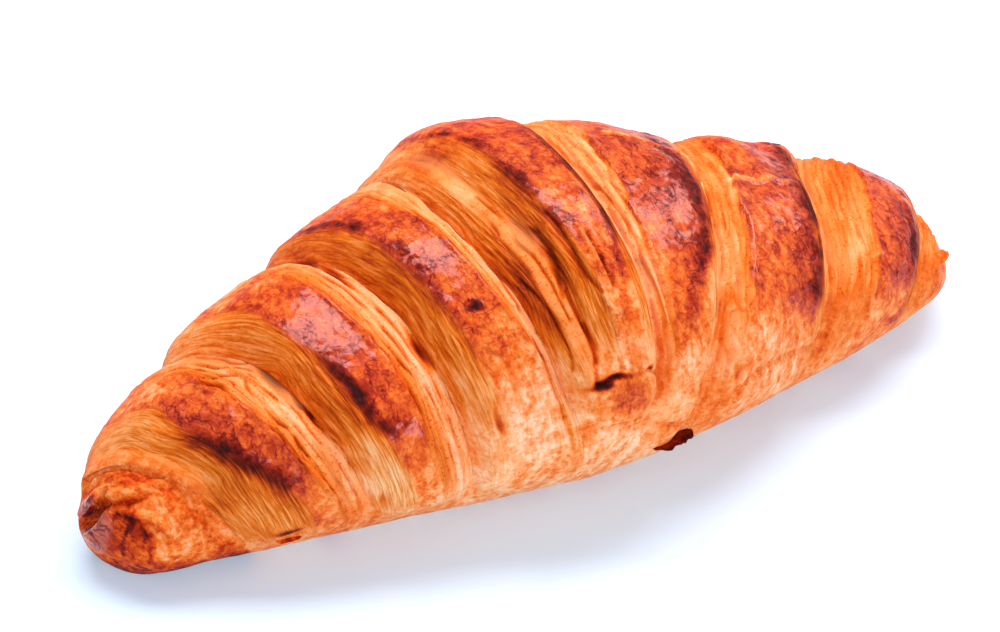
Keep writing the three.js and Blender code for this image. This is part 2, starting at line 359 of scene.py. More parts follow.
def curl_push(y, z):
    """How far the near end is pushed in at the curl's slit, and out at its lips."""
    lean = math.radians(CURL_LEAN)
    along = (y - CURL_Y) * math.cos(lean) + (z - CURL_Z) * math.sin(lean)
    across = -(y - CURL_Y) * math.sin(lean) + (z - CURL_Z) * math.cos(lean)
    bow = across + CURL_BOW * along * along
    ends = 1 - ease((np.abs(along) - CURL_LENGTH * 0.3) / (CURL_LENGTH * 0.35))
    lips = bump((np.abs(bow) - 2.2 * CURL_WIDTH) / CURL_WIDTH)
    return ends * (CURL_DEPTH * bump(bow / CURL_WIDTH) - CURL_LIP * lips)


def pressed(z):
    """The height once the underside is pressed flat, with a soft turn into the flat."""
    soft = (z + FLAT_BLEND) ** 2 / (4 * FLAT_BLEND)
    return np.where(z > FLAT_BLEND, z, np.where(z < -FLAT_BLEND, 0.0, soft))


def crust_points(x, angle, fall):
    """Places in space of points on the crust that lie the fall below its envelope."""
    round_off = np.where(x < 0, NEAR_END_ROUND, FAR_END_ROUND)
    t = np.clip((np.abs(x) - (HALF - round_off)) / round_off, 0, 1)
    opened = np.sqrt(np.maximum(1 - t * t, 0))
    wide = curve(STATIONS, HALF_WIDTHS, x)
    fall = fall - swell(x, angle) * step_share(angle)
    behind = ease((angle - 75) / 45) * ease((270 - angle) / 90)
    fall = fall + curve(BODY_STATIONS, BACK_DROPS, x) * behind
    turn = np.radians(angle)
    nose = np.where(x < 0, NEAR_NOSE_RISE, -FAR_NOSE_DROP)
    lift = np.where(x < 0, NEAR_LIFT, FAR_LIFT)
    centre = wide * HEIGHT_TO_WIDTH + lift * (x / HALF) ** 2 + nose * (1 - opened) - SINK
    under = (turn < 0) | (turn > math.pi)
    tall = wide * HEIGHT_TO_WIDTH + under * curve(BODY_STATIONS, UNDER_DEPTHS, x)
    y = curve(BODY_STATIONS, BENDS, x) - (wide - fall) * opened * np.cos(turn)
    z = pressed(centre + (tall - fall) * opened * np.sin(turn))
    push = np.where(x < -HALF + CURL_REACH, curl_push(y, z) * ease((-x - 82) / 4), 0.0)
    return np.stack([x + push, y, z], axis=-1)


def grid_angles():
    """The mesh's section angles, dense where they show and sparse under and behind."""
    hidden = int(BACK_ROWS * 0.3)
    under = np.linspace(-90, FRONT_FROM, hidden, endpoint=False)
    front = np.linspace(FRONT_FROM, FRONT_TO, FRONT_ROWS, endpoint=False)
    back = np.linspace(FRONT_TO, 270, BACK_ROWS - hidden, endpoint=False)
    return np.concatenate([under, front, back])


def grid_feet(edge, angles):
    """Places of one column that keeps to a cut edge and closes up underneath."""
    turned = np.where(angles > HIDDEN_TO, angles, angles + 360)
    share = ease((turned - HIDDEN_TO) / (HIDDEN_FROM + 360 - HIDDEN_TO))
    start = curve(EDGE_ANGLES, edge, HIDDEN_TO)
    end = curve(EDGE_ANGLES, edge, HIDDEN_FROM)
    hidden = (angles > HIDDEN_TO) | (angles < HIDDEN_FROM)
    return np.where(hidden, blend(start, end, share), curve(EDGE_ANGLES, edge, angles))


def grid_side(edges, leans, angles, face_columns):
    """Columns of one half of the roll, from its tip to the outermost wrap's crest."""
    feet = [grid_feet(edge, angles) for edge in reversed(edges)]
    columns = []
    breaks = []
    for i in range(END_COLUMNS, 0, -1):
        columns.append(feet[0] + (HALF - feet[0]) * math.sin(i / END_COLUMNS * math.pi / 2))
    for k, (foot, lean) in enumerate(zip(feet, reversed(leans))):
        breaks.append(len(columns))
        for i in range(face_columns):
            columns.append(foot - lean * i / face_columns)
        crest = foot - lean
        if k == len(feet) - 1:
            columns.append(crest)
            continue
        for i in range(TOP_COLUMNS):
            t = i / TOP_COLUMNS
            columns.append(crest + (feet[k + 1] - crest) * (t + 0.12 * math.sin(math.pi * t)))
    return columns, breaks


def grid_places():
    """The along-the-roll place of every column at every angle, and where wraps begin."""
    angles = grid_angles()
    near, near_breaks = grid_side(NEAR_EDGES, NEAR_RUNS, angles, NEAR_FACE_COLUMNS)
    far, far_breaks = grid_side(FAR_EDGES, FAR_RUNS, angles, FAR_FACE_COLUMNS)
    near = [-column for column in near]
    middle = [near[-1] + (far[-1] - near[-1]) * i / TOP_COLUMNS for i in range(1, TOP_COLUMNS)]
    columns = near + middle + far[::-1]
    last = len(columns) - 1
    breaks = near_breaks + [last - index for index in reversed(far_breaks)]
    x = np.array(columns)
    return x, np.broadcast_to(angles, x.shape), breaks


def grid_normals(points):
    """Outward normals of the grid, whose rows close on themselves."""
    along = np.gradient(points, axis=0)
    around = np.roll(points, -1, axis=1) - np.roll(points, 1, axis=1)
    normal = np.cross(along, around)
    return normal / np.maximum(np.linalg.norm(normal, axis=-1, keepdims=True), 1e-9)


def arc_per_degree(x):
    """Length of one degree round the roll, mm."""
    return 0.88 * curve(STATIONS, HALF_WIDTHS, x) * math.pi / 180


# How dark the crest of each wrap is baked, from the skirt over the top to the back,
# outermost wrap first.
TONE_ANGLES = [0, 15, 30, 45, 60, 75, 90, 110, 130, 170]
NEAR_DARKS = [
    [0, 0, 0, 0.08, 0.3, 0.4, 0.34, 0.4, 0.35, 0.2],
    [0, 0.05, 0.15, 0.3, 0.52, 0.55, 0.42, 0.42, 0.35, 0.2],
    [0.05, 0.25, 0.6, 0.62, 0.45, 0.32, 0.25, 0.3, 0.2, 0.1],
    [0.2, 0.5, 0.66, 0.65, 0.5, 0.33, 0.22, 0.2, 0.2, 0.1],
]
FAR_DARKS = [
    [0, 0, 0.1, 0.35, 0.5, 0.5, 0.42, 0.4, 0.35, 0.2],
    [0, 0.1, 0.4, 0.62, 0.62, 0.5, 0.45, 0.5, 0.4, 0.3],
    [0.15, 0.35, 0.6, 0.62, 0.56, 0.55, 0.6, 0.65, 0.5, 0.3],
    [0.25, 0.35, 0.5, 0.48, 0.42, 0.4, 0.38, 0.35, 0.3, 0.2],
]
# How far inside the wrap's edge its darkest line runs, mm, at the same angles, and the
# line's half-width.
NEAR_INSETS = [
    [11.5, 11.5, 11.5, 11.5, 11.5, 10.8, 11.2, 10.9, 9, 9],
    [6.5, 6.2, 5.8, 5.1, 4.7, 4.5, 4.2, 5.1, 4.2, 4.5],
    [7, 6.9, 6.3, 5.9, 6.2, 5.1, 4.8, 7.3, 6.9, 7.2],
    [12.5, 11.2, 9.3, 6.8, 6.6, 7.6, 8.7, 8.7, 7.8, 7.5],
]
FAR_INSETS = [
    [8, 8, 7.2, 4.6, 2.2, 2.1, 2.6, 2.8, 3, 3],
    [8, 8, 8, 4.8, 4.5, 5.2, 6.3, 5, 4, 4],
    [4.5, 4.4, 4.2, 2.8, 2.6, 2.6, 3.0, 4.5, 5.6, 5],
    [4, 4, 4.5, 4, 4, 4, 4, 4, 4, 4],
]
NEAR_BURN_WIDTHS = [1.7, 2.0, 1.9, 2.6]
FAR_BURN_WIDTHS = [1.5, 2.8, 3.0, 3.0]
# How deeply the rest of each wrap's skin is browned, at the same angles.
NEAR_TONES = [
    [0.14, 0.2, 0.3, 0.36, 0.36, 0.35, 0.37, 0.56, 0.58, 0.4],
    [0.1, 0.2, 0.32, 0.4, 0.46, 0.49, 0.5, 0.54, 0.5, 0.4],
    [0.28, 0.36, 0.38, 0.36, 0.4, 0.43, 0.43, 0.42, 0.4, 0.35],
    [0.26, 0.34, 0.4, 0.42, 0.39, 0.37, 0.38, 0.4, 0.35, 0.3],
]
FAR_TONES = [
    [0.16, 0.2, 0.27, 0.34, 0.34, 0.34, 0.37, 0.56, 0.58, 0.4],
    [0.2, 0.22, 0.28, 0.38, 0.43, 0.46, 0.48, 0.55, 0.45, 0.4],
    [0.2, 0.28, 0.42, 0.44, 0.42, 0.42, 0.47, 0.54, 0.5, 0.4],
    [0.3, 0.42, 0.5, 0.5, 0.49, 0.49, 0.5, 0.5, 0.45, 0.4],
]
# How brown the cut layers of the near wraps are, at the same angles; the middle wrap has
# two such bands, the outer one first.
FACE_TONES = [
    [0.18, 0.26, 0.46, 0.6, 0.56, 0.42, 0.36, 0.34, 0.3, 0.3],
    [0.14, 0.2, 0.28, 0.38, 0.49, 0.52, 0.49, 0.46, 0.45, 0.4],
    [0.16, 0.26, 0.42, 0.46, 0.4, 0.34, 0.3, 0.3, 0.3, 0.3],
    [0.36, 0.43, 0.47, 0.43, 0.38, 0.34, 0.31, 0.3, 0.3, 0.3],
]
UPPER_BAND_TONES = [0.2, 0.22, 0.34, 0.5, 0.54, 0.48, 0.4, 0.35, 0.3, 0.3]
FAR_FACE_TONE = 0.28
SKIRT_TONE = 0.20
# How brown the bare layers inside each wrap's edge are.
NEAR_BARE_TONES = [0.11, 0.11, 0.11, 0.13]
FAR_BARE_TONES = [0.1, 0.12, 0.23, 0.28]

# Widths of one cut layer, of one soft ridge of a bare layer, and of the creases between, mm.
LAYER_SPACING = 0.62
NOODLE_SPACING = 1.8
CREASE_WIDTH = 0.36

# How wrinkled each wrap's glossy skin is.
NEAR_WRINKLES = [1.15, 1.0, 0.6, 0.9]
FAR_WRINKLES = [1.15, 1.1, 1.1, 0.7]

# Single dark marks: place along the roll, section angle, half-length along the roll and
# round it, mm, and strength. They lean along with the cut edges.
MARK_LEAN = 0.12
MARKS = [
    (-24.1, 53, 1.7, 1.5, 1.0),
    (-12, 110, 5.0, 6.0, 0.35),
    (-9.5, 11, 2.0, 0.9, 0.95),
    (-7.2, 13, 1.2, 0.7, 0.8),
    (-0.9, 13, 0.6, 0.6, 0.7),
    (22.9, 25, 0.8, 2.2, 0.4),
    (19.7, -2, 0.8, 1.8, 0.5),
    (24.6, 16, 0.8, 1.6, 0.35),
    (-61.5, -16, 2.4, 1.0, 0.7),
    (62.8, -9, 2.0, 1.6, 0.6),
]

# Soft changes of tone, as the marks.
TONES = [(-3.4, 4, 5.5, 5.0, 0.3)]

# Gaps under lifted layers, as the marks, with a depth in mm; the colour paints their insides dark as
# shade.
SLITS = [
    (-45.2, -13, 0.55, 2.3, 1.3),
    (-39.1, 116, 0.8, 4.5, 0.9),
    (-37.6, 99, 0.8, 4.0, 0.8),
    (-26.4, 11, 0.5, 3.0, 0.5),
    (-53.1, 47, 0.9, 5.0, 0.7),
    (-55.4, 74, 0.9, 5.0, 0.7),
    (-33.0, 49, 1.0, 4.0, 0.7),
]

# Single ridges (positive) and creases (negative) in the crust: places along the roll with
# section angles, half-width and height in mm, and how much darker they are: on the creases this is painted
# shade, on the fold crests painted highlight, and the cracks and strands are paler.
CREASE_LINE = [
    (-22, -2), (-11, -6), (-1.4, -12), (13.3, -16), (18.5, -12), (24.5, -3), (36, -2), (47.6, -7),
]
TONGUE_LINE = [(-9.9, 12), (-7, 13), (-4.8, 12), (-0.8, 12), (2.4, 3), (-1.2, -6), (-7.6, -6)]
CRACKS = [
    [(17, 97), (22, 90), (27, 84), (31, 78)],
    [(37, 79), (40, 81), (43, 78), (46, 79), (48, 76), (51, 77)],
]
STRANDS = [[(23, 44), (26, 45)], [(21.5, 32), (25.5, 33)], [(20.5, 22), (24, 23)], [(59, 32), (62, 33)]]
FOLD_CREASES = [
    [(-7.7, 67), (-7.1, 61), (-6.9, 53), (-6.8, 46), (-5.5, 39)],
    [(-10.3, 65), (-10, 57), (-10.2, 50), (-11, 42)],
    [(-9.8, 64), (-9.6, 57), (-9.7, 48), (-10.1, 39), (-9, 26), (-9.4, 19)],
    [(-15.5, 53), (-13.8, 40), (-13.1, 29), (-13.1, 19)],
    [(-9.5, 32), (-9.5, 22), (-10.4, 12)],
    [(-3.1, 56), (-3.1, 46), (-3.2, 39)],
]
FOLD_CRESTS = [
    [(-6.3, 60), (-6.0, 50), (-5.9, 42), (-4.6, 33)],
    [(-4.4, 59), (-4.3, 50), (-4, 42), (-3.7, 33)],
    [(-8.6, 62), (-8.3, 52), (-8.4, 42), (-7.8, 33)],
]
LINES = [
    ([CREASE_LINE], 0.8, -0.7, 0.08),
    ([TONGUE_LINE], 0.5, -0.5, 0.12),
    ([TONGUE_LINE[:3]], 0.5, -0.3, 0.3),
    (CRACKS, 0.7, 0.3, -0.25),
    (STRANDS, 0.35, 0.3, -0.1),
    (FOLD_CREASES, 0.4, -0.8, 0.17),
    (FOLD_CRESTS, 0.7, 0.6, -0.1),
]

# Loose flakes: where on the roll they are rooted, the way they point, the way they are
# wide, their length, width and thickness in mm, and how toasted they are.
FLAKES = [
    ("flake_tip", (80.3, 19), (0.75, -0.25, 0.6), (0.3, -0.8, -0.5), (2.6, 2.6, 0.7), 0.42),
    ("flake_base", (8, -27), (0.1, -0.8, -0.45), (1, 0.1, 0), (2.4, 9, 0.9), 0.9),
    ("flake_front", (-60.5, -26), (-0.1, -0.8, -0.5), (1, 0.1, 0.1), (1.0, 4.6, 0.5), 0.62),
]

# How far a flake's root lies inside the crust, as a share of its length, and its mesh.
FLAKE_ROOT = 0.25
FLAKE_COLUMNS = 28
FLAKE_ROWS = 40

# The rolled near end, in mm from the frame's origin: a fold inside the outer lip, the ridge
# where the inner roll's skin ends, and the slit between the two lips of the curl.
FOLD_LINE = [
    (-88.7, 1.2, 11.3), (-87.3, -2.6, 15.3), (-84, -7.1, 17.8), (-80.2, -8.6, 18.7), (-77.6, -9.4, 19),
]
RIDGE_LINE = [
    (-86.2, -6, 15), (-84.2, -9.5, 15.2), (-82.1, -11.9, 15.2), (-80.9, -14.2, 13.8), (-80.6, -15.1, 11.5),
]
SLIT_LINE = [(-89.6, -0.8, 8.6), (-89, -1.5, 11), (-88.2, -3.4, 13.6), (-86.9, -4.2, 15.2)]
# Each as the single lines: path, half-width, height and how much darker; on the creases beside the fold
# and the ridge, and on the slit, the darkening is painted shade.
END_LINES = [
    (FOLD_LINE, 0.9, 0.8, 0.0),
    ([(x, y - 1.1, z - 1.0) for x, y, z in FOLD_LINE], 0.6, -0.7, 0.25),
    (RIDGE_LINE, 0.6, 0.8, 0.04),
    ([(x, y - 0.5, z - 1.0) for x, y, z in RIDGE_LINE], 0.5, -0.4, 0.2),
    (SLIT_LINE, 0.7, -0.6, 0.45),
]
# Soft round patches there, as middles and half-sizes: grainy dough, and the curl's lips.
END_GRAIN = ((-86, -10, 9), (6, 5.5, 7.5))
END_LIPS = ((-89, -3, 10.5), (4, 4.5, 6))

# Heights and depths of the fine relief, and the blisters' size, mm.
TOOTH_HEIGHT = 0.22
NOODLE_HEIGHT = 0.30
CREASE_DEPTH = 0.45
BLISTER_SIZE = 3.1
BLISTER_HEIGHT = 0.36
LUMP_HEIGHT = 0.40
WRINKLE_HEIGHT = 0.10
SLIT_LIP = 0.35
MEMBRANE_DEPTH = 0.6
LIP_RISE = 1.5
# Distances over which the relief fades out at the tips and at the resting face.
TIP_FADE = 3.0
BASE_FADE = 1.5


def oval(x, angle, mark):
    """A soft oval mark on the crust, leaning along with the cut edges."""
    at_x, at_angle, long, around = mark[:4]
    across = (angle - at_angle) * arc_per_degree(x)
    along = x - at_x - math.copysign(MARK_LEAN, at_x) * across
    return bump(np.sqrt((along / long) ** 2 + (across / around) ** 2))


def smooth_path(stops, each=5):
    """Points close together along a smooth line through the stops."""
    stops = np.array(stops, float)
    knots = np.arange(len(stops))
    at = np.linspace(0, len(stops) - 1, each * (len(stops) - 1) + 1)
    return np.stack([curve(knots, stops[:, i], at) for i in range(stops.shape[1])], axis=-1)


def path_distance(points, path, reach):
    """Distance of every point from a path in space, mm, as far as it is within reach."""
    low = path.min(axis=0) - reach
    high = path.max(axis=0) + reach
    close = np.all((points > low) & (points < high), axis=-1)
    spots = points[close]
    best = np.full(len(spots), reach, float)
    for start, end in zip(path[:-1], path[1:]):
        step = end - start
        share = np.clip((spots - start) @ step / (step @ step), 0, 1)
        best = np.minimum(best, np.linalg.norm(spots - start - share[:, None] * step, axis=-1))
    away = np.full(points.shape[:-1], reach, float)
    away[close] = best
    return away


def on_crust(stops):
    """A smooth path in space over places on the crust."""
    places = smooth_path(stops)
    x, angle = places[:, 0], places[:, 1]
    return crust_points(x, angle, drop(wrap_places(x, angle), x, angle))


def line_marks(points):
    """Relief of the single ridges and creases, and their tone: painted shade in the creases, painted
    highlight on the fold crests.
    """
    relief = np.zeros(points.shape[:-1])
    toast = np.zeros(points.shape[:-1])
    lines = [(on_crust(stops), *rest) for group, *rest in LINES for stops in group]
    lines += [(smooth_path(stops), *rest) for stops, *rest in END_LINES]
    for path, half, height, darker_painted_light_and_tone in lines:
        shape = bump(path_distance(points, path, 3 * half) / half)
        relief += height * shape
        toast += darker_painted_light_and_tone * shape
    return relief, toast


def patch_share(points, patch):
    """A soft oval patch in space."""
    middle, halves = patch
    off = np.sqrt((((points - np.array(middle)) / np.array(halves)) ** 2).sum(axis=-1))
    return 1 - ease((off - 0.75) / 0.4)


def lamination(run, angle, lane):
    """Thin layers seen on edge: a saw-toothed relief and each layer's own tone."""
    sway = 0.9 * rough_noise(angle / 24, run / 9, lane * 5.3, 70, 2)
    at = run / LAYER_SPACING + angle / 55 + sway
    share = at - np.floor(at)
    tooth = share * (1 - ease((share - 0.75) / 0.25))
    tone = noise(np.floor(at) * 3.7, angle / 11, lane * 2.9, 75)
    return tooth, tone


def noodles(past, angle, lane):
    """Soft round ridges side by side, and the creases between them."""
    at = past / NOODLE_SPACING + 1.1 * rough_noise(angle / 16, past / 7, lane * 4.7, 140, 2)
    share = at - np.floor(at)
    ridge = 1 - np.abs(2 * share - 1) ** 2.2
    nearest = np.round(at)
    deep = ease((noise(nearest * 3.7, angle / 10, lane * 2.3, 145) - 0.30) / 0.3)
    crease = (1 - ease(np.abs(at - nearest) * NOODLE_SPACING / CREASE_WIDTH)) * deep
    return ridge, crease


def by_wrap(w, near_values, far_values):
    """One value per place from a list for the near wraps and one for the far wraps."""
    wrap = np.minimum(w.wrap, 3)
    return np.where(w.near, np.choose(wrap, near_values), np.choose(wrap, far_values))


def by_angle(rows, angle):
    """The value of each row at every angle."""
    return [curve(TONE_ANGLES, row, angle) for row in rows]


def burnt(w, x, angle):
    """How dark the crests are baked, from 0 to 1."""
    wander = 1.3 * rough_noise(angle / 20, w.lane * 3.3, x / 30, 110, 2)
    dark = np.zeros_like(x)
    near_rows = zip(by_angle(NEAR_DARKS, angle), by_angle(NEAR_INSETS, angle), NEAR_BURN_WIDTHS)
    far_rows = zip(by_angle(FAR_DARKS, angle), by_angle(FAR_INSETS, angle), FAR_BURN_WIDTHS)
    for side, first_run, rows in ((w.near, w.near_run, near_rows), (~w.near, w.far_run, far_rows)):
        for k, (strength, inset, wide) in enumerate(rows):
            on = side & (w.wrap == k) if k > 0 else w.wrap == 0
            off = (w.run if k > 0 else first_run) - inset + wander
            core = bump(off / wide)
            spread = np.where(off > 0, 0.5 * bump(off / (3.0 * wide)), 0.4 * bump(off / 2.4))
            dark = np.where(on, np.maximum(dark, strength * np.maximum(core, spread)), dark)
    return dark


def mark_cut_layers(m, w, x, angle):
    """Where layers are cut on edge, how brown they are, and their teeth."""
    wander = 1.2 * rough_noise(angle / 9, w.lane * 3.1, x / 12, 60, 3)
    near_reach = [inset - 0.6 for inset in by_angle(NEAR_INSETS, angle)]
    far_reach = [np.full_like(x, lean + 0.5) for lean in FAR_RUNS]
    reach = by_wrap(w, near_reach, far_reach) + wander * w.near
    cut = 1 - ease((w.edge_run - reach + 0.9) / 1.8)
    first_band = 1 - ease((w.near_run - SHELF_FROM - 0.1 + 0.5 * wander) / 0.8)
    upper_band = ease((w.near_run - SHELF_TO + 0.7 + 0.5 * wander) / 0.8) * cut
    middle_cut = np.maximum(first_band, upper_band) * m.shelf
    middle_cut = middle_cut + (1 - m.shelf) * (1 - ease((w.near_run - 3.5) / 1.5))
    cut = np.where((w.wrap > 0) | ~w.near, cut, middle_cut)
    cut = cut * np.where(w.wrap == 0, point_share(x, angle) * m.low, m.low) * (w.wrap < 4)
    m.cut = cut * np.where(w.wrap < 2, 0.3 + 0.7 * ease((angle - 6) / 24), 1.0)
    far_tones = [np.full_like(x, FAR_FACE_TONE)] * 4
    face_tone = by_wrap(w, by_angle(FACE_TONES, angle), far_tones)
    on_upper = (w.wrap == 0) & (w.near_run > SHELF_TO - 1.5)
    m.face_tone = np.where(on_upper, curve(TONE_ANGLES, UPPER_BAND_TONES, angle), face_tone)
    m.tooth, m.tone = lamination(w.edge_run * np.where(w.near, 1.0, 0.8), angle, w.lane)


def mark_bare_layers(m, w, angle):
    """Where pale layers lie bare, their edges and creases, and the film in their grooves, which the
    material paints partly as the grooves' shade.
    """
    inner = w.wrap > 0
    flat = np.zeros_like(angle)
    from_skirt = ease((angle - 4) / 26)
    waver = 1.3 * rough_noise(angle / 9, w.lane * 4.1, flat, 90, 3) / w.pale
    m.t = w.past_inner / w.pale
    edge_line = np.where(inner, bump((m.t - 1.02 + waver) * w.pale / 0.45), 0.0)
    m.edge_line = edge_line * m.low * (w.wrap < 4) * from_skirt
    bare = np.where(inner, 1 - ease((m.t - 1 + waver) * w.pale / 0.7), 0.0)
    shelf = ease((w.near_run - SHELF_FROM) / 0.8) * (1 - ease((w.near_run - SHELF_TO) / 1.0))
    bare = np.where(inner | ~w.near, bare, shelf * m.shelf)
    bare = bare * m.low * (1 - m.cut) * ((w.wrap < 4) | ~w.near)
    m.bare = bare * np.where(w.near, 1.0, 0.45 + 0.55 * from_skirt)
    # The film at the foot of each cut face, in its groove: the material paints it greyer and darker,
    # partly as painted shade of the groove.
    groove = np.where(inner, bump((w.past_inner - 0.9) / 1.1), 0.0)
    shelf_groove = bump((w.near_run - SHELF_TO + 0.9) / 1.2) * m.shelf
    groove = np.where(inner | ~w.near, groove, shelf_groove)
    lens = ease((noise(angle / 13, w.lane * 6.1, flat, 95) - 0.42) / 0.16)
    m.membrane = groove * lens * m.low * m.up * (w.wrap < 4)
    past = np.where(w.wrap == 0, SHELF_TO - w.near_run, w.past_inner)
    m.noodle, crease = noodles(past, angle, w.lane)
    crease = crease * np.where(w.near | (w.past_inner < 3), 1.0, 0.35)
    m.crease = crease * m.bare * ease((angle + 4) / 26)


def mark_near_end(m, w, points, angle):
    """The rolled near end: its hollow face, grainy dough, the curl's lips and the outer lip."""
    at_end = (w.wrap == 4) & w.near
    m.grainy = np.where(at_end, patch_share(points, END_GRAIN), 0.0)
    m.lips = patch_share(points, END_LIPS)
    m.hollow = np.where(at_end, 1 - m.lips, 0.0)
    lip_place = np.where(w.wrap == 3, w.run, -w.past_inner)
    lip = np.where(w.near & (w.wrap >= 3), bump((lip_place - 0.2) / 1.3), 0.0)
    lip = lip * ease((angle - 12) / 25)
    m.lip = lip * ease((150 - angle) / 25) * (points[..., 0] < -60)
    m.cut = m.cut * (1 - 0.95 * m.lip)


def mark_skin(m, w, x, angle):
    """The egg-washed tops: their tone, dark marks, and slits under lifted layers."""
    dark = burnt(w, x, angle)
    for mark in MARKS:
        dark = np.maximum(dark, mark[4] * oval(x, angle, mark))
    m.dark = dark * (w.wrap < 4)
    slits = [oval(x, angle, mark) for mark in SLITS]
    depths = [mark[4] * slit for mark, slit in zip(SLITS, slits)]
    m.slit = np.max(slits, axis=0) * (1 - 0.8 * m.cut)
    m.slit_depth = np.max(depths, axis=0) * (1 - 0.6 * m.cut)
    m.skin = (1 - m.bare) * (1 - m.cut)
    m.skin_tone = by_wrap(w, by_angle(NEAR_TONES, angle), by_angle(FAR_TONES, angle))


def crust_marks(points, w, x, angle):
    """Where the crust is cut, bare, blistered, baked dark or lifted."""
    m = SimpleNamespace(low=step_share(angle), shelf=shelf_share(angle))
    m.up = ease((angle - 2) / 40) * ease((190 - angle) / 40)
    m.along = w.edge_run + 0.9 * rough_noise(angle / 24, w.edge_run / 9, w.lane * 5.3, 70, 2)
    mark_cut_layers(m, w, x, angle)
    mark_bare_layers(m, w, angle)
    mark_near_end(m, w, points, angle)
    mark_skin(m, w, x, angle)
    return m


def scaled(points, size):
    """The points' coordinates divided by a size, or by one for each axis, to draw noise at."""
    return np.moveaxis(points / np.array(size), -1, 0)


def fine_relief(points, m):
    """Relief along the crust's own normals, mm: layers on edge, blisters, wrinkles."""
    relief = m.cut * TOOTH_HEIGHT * (m.tooth - 0.35) * (0.5 + m.tone)
    relief = relief + m.bare * (NOODLE_HEIGHT * m.noodle - CREASE_DEPTH * m.crease)
    near = nearest_cell(*scaled(points, BLISTER_SIZE), 150)
    many = ease((noise(*scaled(points, 9), 155) - 0.36) / 0.2)
    blister = ease(1.15 - near * 1.25) * many
    browned = ease((m.dark - 0.12) / 0.3) * 0.7 + 0.3 * m.up
    relief = relief + m.skin * browned * BLISTER_HEIGHT * blister
    lumps = LUMP_HEIGHT * rough_noise(*scaled(points, 6), 165, 3)
    relief = relief + lumps * (0.4 + 0.6 * (1 - m.up))
    wrinkles = WRINKLE_HEIGHT * rough_noise(*scaled(points, 1.4), 170, 2)
    relief = relief + wrinkles * m.skin * (1 + browned)
    relief = relief - SLIT_LIP * m.slit
    return relief + LIP_RISE * m.lip - MEMBRANE_DEPTH * m.membrane, blister


def crust_colour(points, w, m, blister):
    """How toasted the crust is, from 0 for cream to 1 for black, with painted shade in the bare creases,
    in the slits and under the near end's lip.
    """
    patch = rough_noise(*scaled(points, 7), 180, 3)
    speck = rough_noise(*scaled(points, 1.6), 185, 2)
    skin = blend(SKIRT_TONE, m.skin_tone, m.low)
    skin = skin + 0.22 * patch + 0.08 * speck + 0.05 * blister
    outer_bare = ease((m.t - 0.5) / 0.35) * np.where(w.near, 0.15, 0.0)
    bare = by_wrap(w, NEAR_BARE_TONES, FAR_BARE_TONES) + outer_bare + 0.10 * patch + 0.06 * speck
    # The creases between the bare ridges are darker: painted shade in them, with some brown of their own.
    bare = bare + 0.16 * m.edge_line + 0.24 * m.crease - 0.05 * (w.wrap == 0)
    toast = blend(bare, skin, m.skin)
    cut = m.face_tone - 0.05 + 0.14 * patch + 0.10 * (m.tone - 0.5)
    toast = blend(toast, cut, m.cut)
    ragged = ease((m.dark * (1.05 + 0.7 * patch + 0.4 * speck)) / 0.95)
    toast = blend(toast, 1, ragged * (1 - 0.6 * m.bare))
    # Painted shade inside the slits under lifted layers.
    toast = blend(toast, 0.8, 0.9 * m.slit)
    low_end = 0.36 * ease((9 - points[..., 2]) / 7)
    hollow = 0.29 + 0.12 * patch + 0.10 * speck + low_end
    toast = blend(toast, hollow, m.hollow)
    pores = ease((noise(*scaled(points, (1.1, 0.6, 3.2)), 190) - 0.55) / 0.2)
    toast = blend(toast, 0.52 + 0.14 * patch + 0.26 * pores, m.grainy)
    toast = blend(toast, 0.50 + 0.06 * patch, m.lips)
    toast = blend(toast, 0.30, 0.85 * m.lip)
    # Painted shade inside the hollow, just under the outer lip.
    painted_shade_under_lip = m.hollow * bump((w.past_inner - 3.0) / 1.4)
    return np.clip(toast + 0.16 * painted_shade_under_lip, 0, 1)


def tone_change(x, angle):
    """Soft changes of the skin's tone."""
    return sum(tone[4] * oval(x, angle, tone) for tone in TONES)


def add_object(name, data):
    """A new object in the scene."""
    thing = bpy.data.objects.new(name, data)
    bpy.context.scene.collection.objects.link(thing)
    return thing


def fill(target, key, values, kind=np.float32):
    target.foreach_set(key, values.astype(kind).ravel())


def bake_places(points):
    """Corners of every face in the flat space that the material is baked in."""
    seam = np.linalg.norm(np.diff(points, axis=0), axis=-1).mean(axis=1)
    u = np.concatenate([[0], np.cumsum(seam)])
    u = u / u[-1]
    v = np.linspace(0, 1, points.shape[1] + 1)
    ua, va = np.meshgrid(u[:-1], v[:-1], indexing="ij")
    ub, vb = np.meshgrid(u[1:], v[1:], indexing="ij")
    return np.stack([ua, va, ub, va, ub, vb, ua, vb], axis=-1).reshape(-1, 4, 2)


